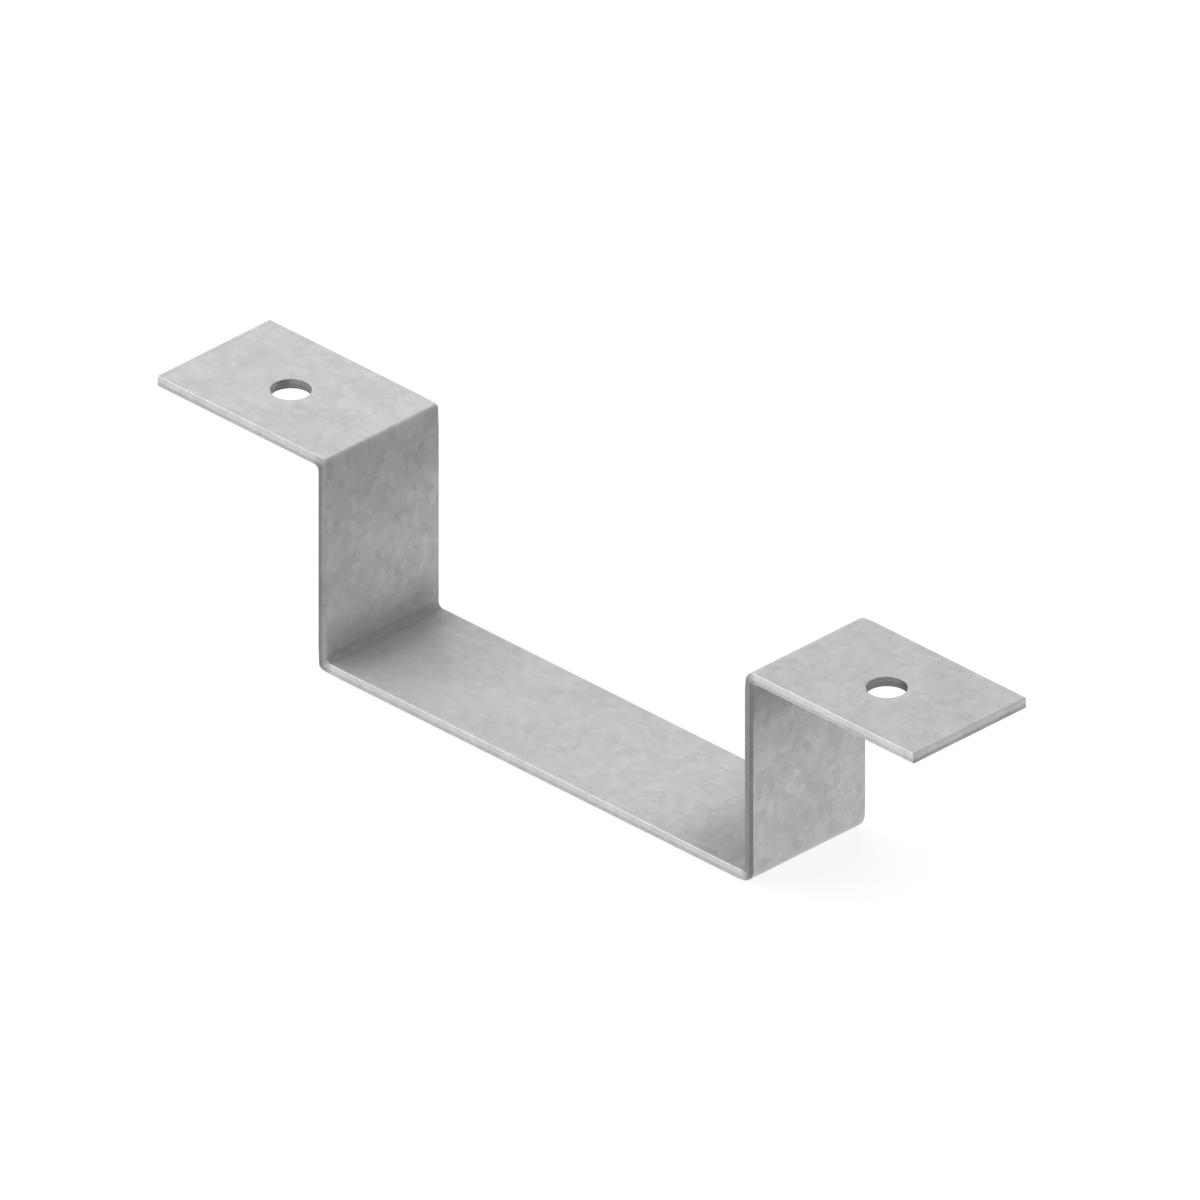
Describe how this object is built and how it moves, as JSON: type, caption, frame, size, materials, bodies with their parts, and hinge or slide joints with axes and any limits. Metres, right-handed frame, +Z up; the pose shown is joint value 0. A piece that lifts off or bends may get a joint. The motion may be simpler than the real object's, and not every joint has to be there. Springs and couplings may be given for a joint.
{
  "type": "u bracket",
  "caption": "U bracket folded from one galvanised steel strip: flat base, upright webs, and outward flanges with a bolt hole each.",
  "frame": {"origin": "middle of the underside of the base", "axes": "+X along the bracket from the left flange to the right flange, +Y across the strip to its back edge, +Z up from the base to the flanges"},
  "size_m": [0.268, 0.04, 0.0615],
  "materials": {
    "galvanised_steel": "galvanised, faint spangle, satin"
  },
  "bodies": {
    "root": {"u_bracket": "galvanised_steel"}
  },
  "joints": []
}
